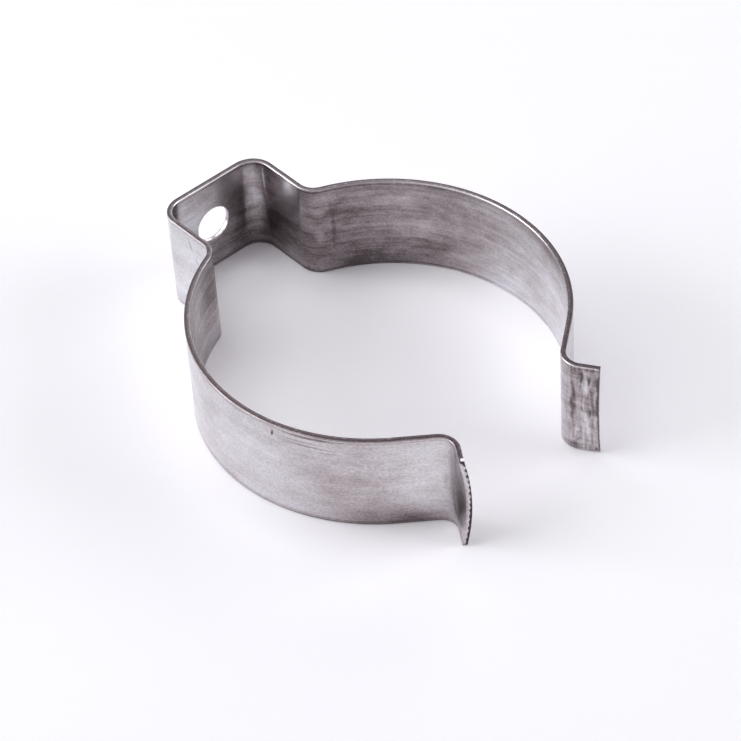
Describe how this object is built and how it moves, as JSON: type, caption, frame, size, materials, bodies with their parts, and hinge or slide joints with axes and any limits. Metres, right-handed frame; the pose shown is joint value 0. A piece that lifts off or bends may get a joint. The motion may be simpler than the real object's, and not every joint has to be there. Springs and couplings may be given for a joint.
{
  "type": "spring strip pipe clip",
  "caption": "One folded spring strip that snaps round a pipe: an open ring with a square screw foot behind it and two turned-out lips at its mouth.",
  "frame": {"origin": "on the pipe's axis, level with the lower edge of the strip", "axes": "+Z along the pipe, +Y towards the screw foot, -Y towards the mouth, +X across the clip"},
  "size_m": [0.051, 0.0651, 0.015],
  "materials": {
    "steel_strip": "satin, rolled along the strip"
  },
  "bodies": {
    "root": {"clip_strip": "steel_strip"}
  },
  "joints": []
}
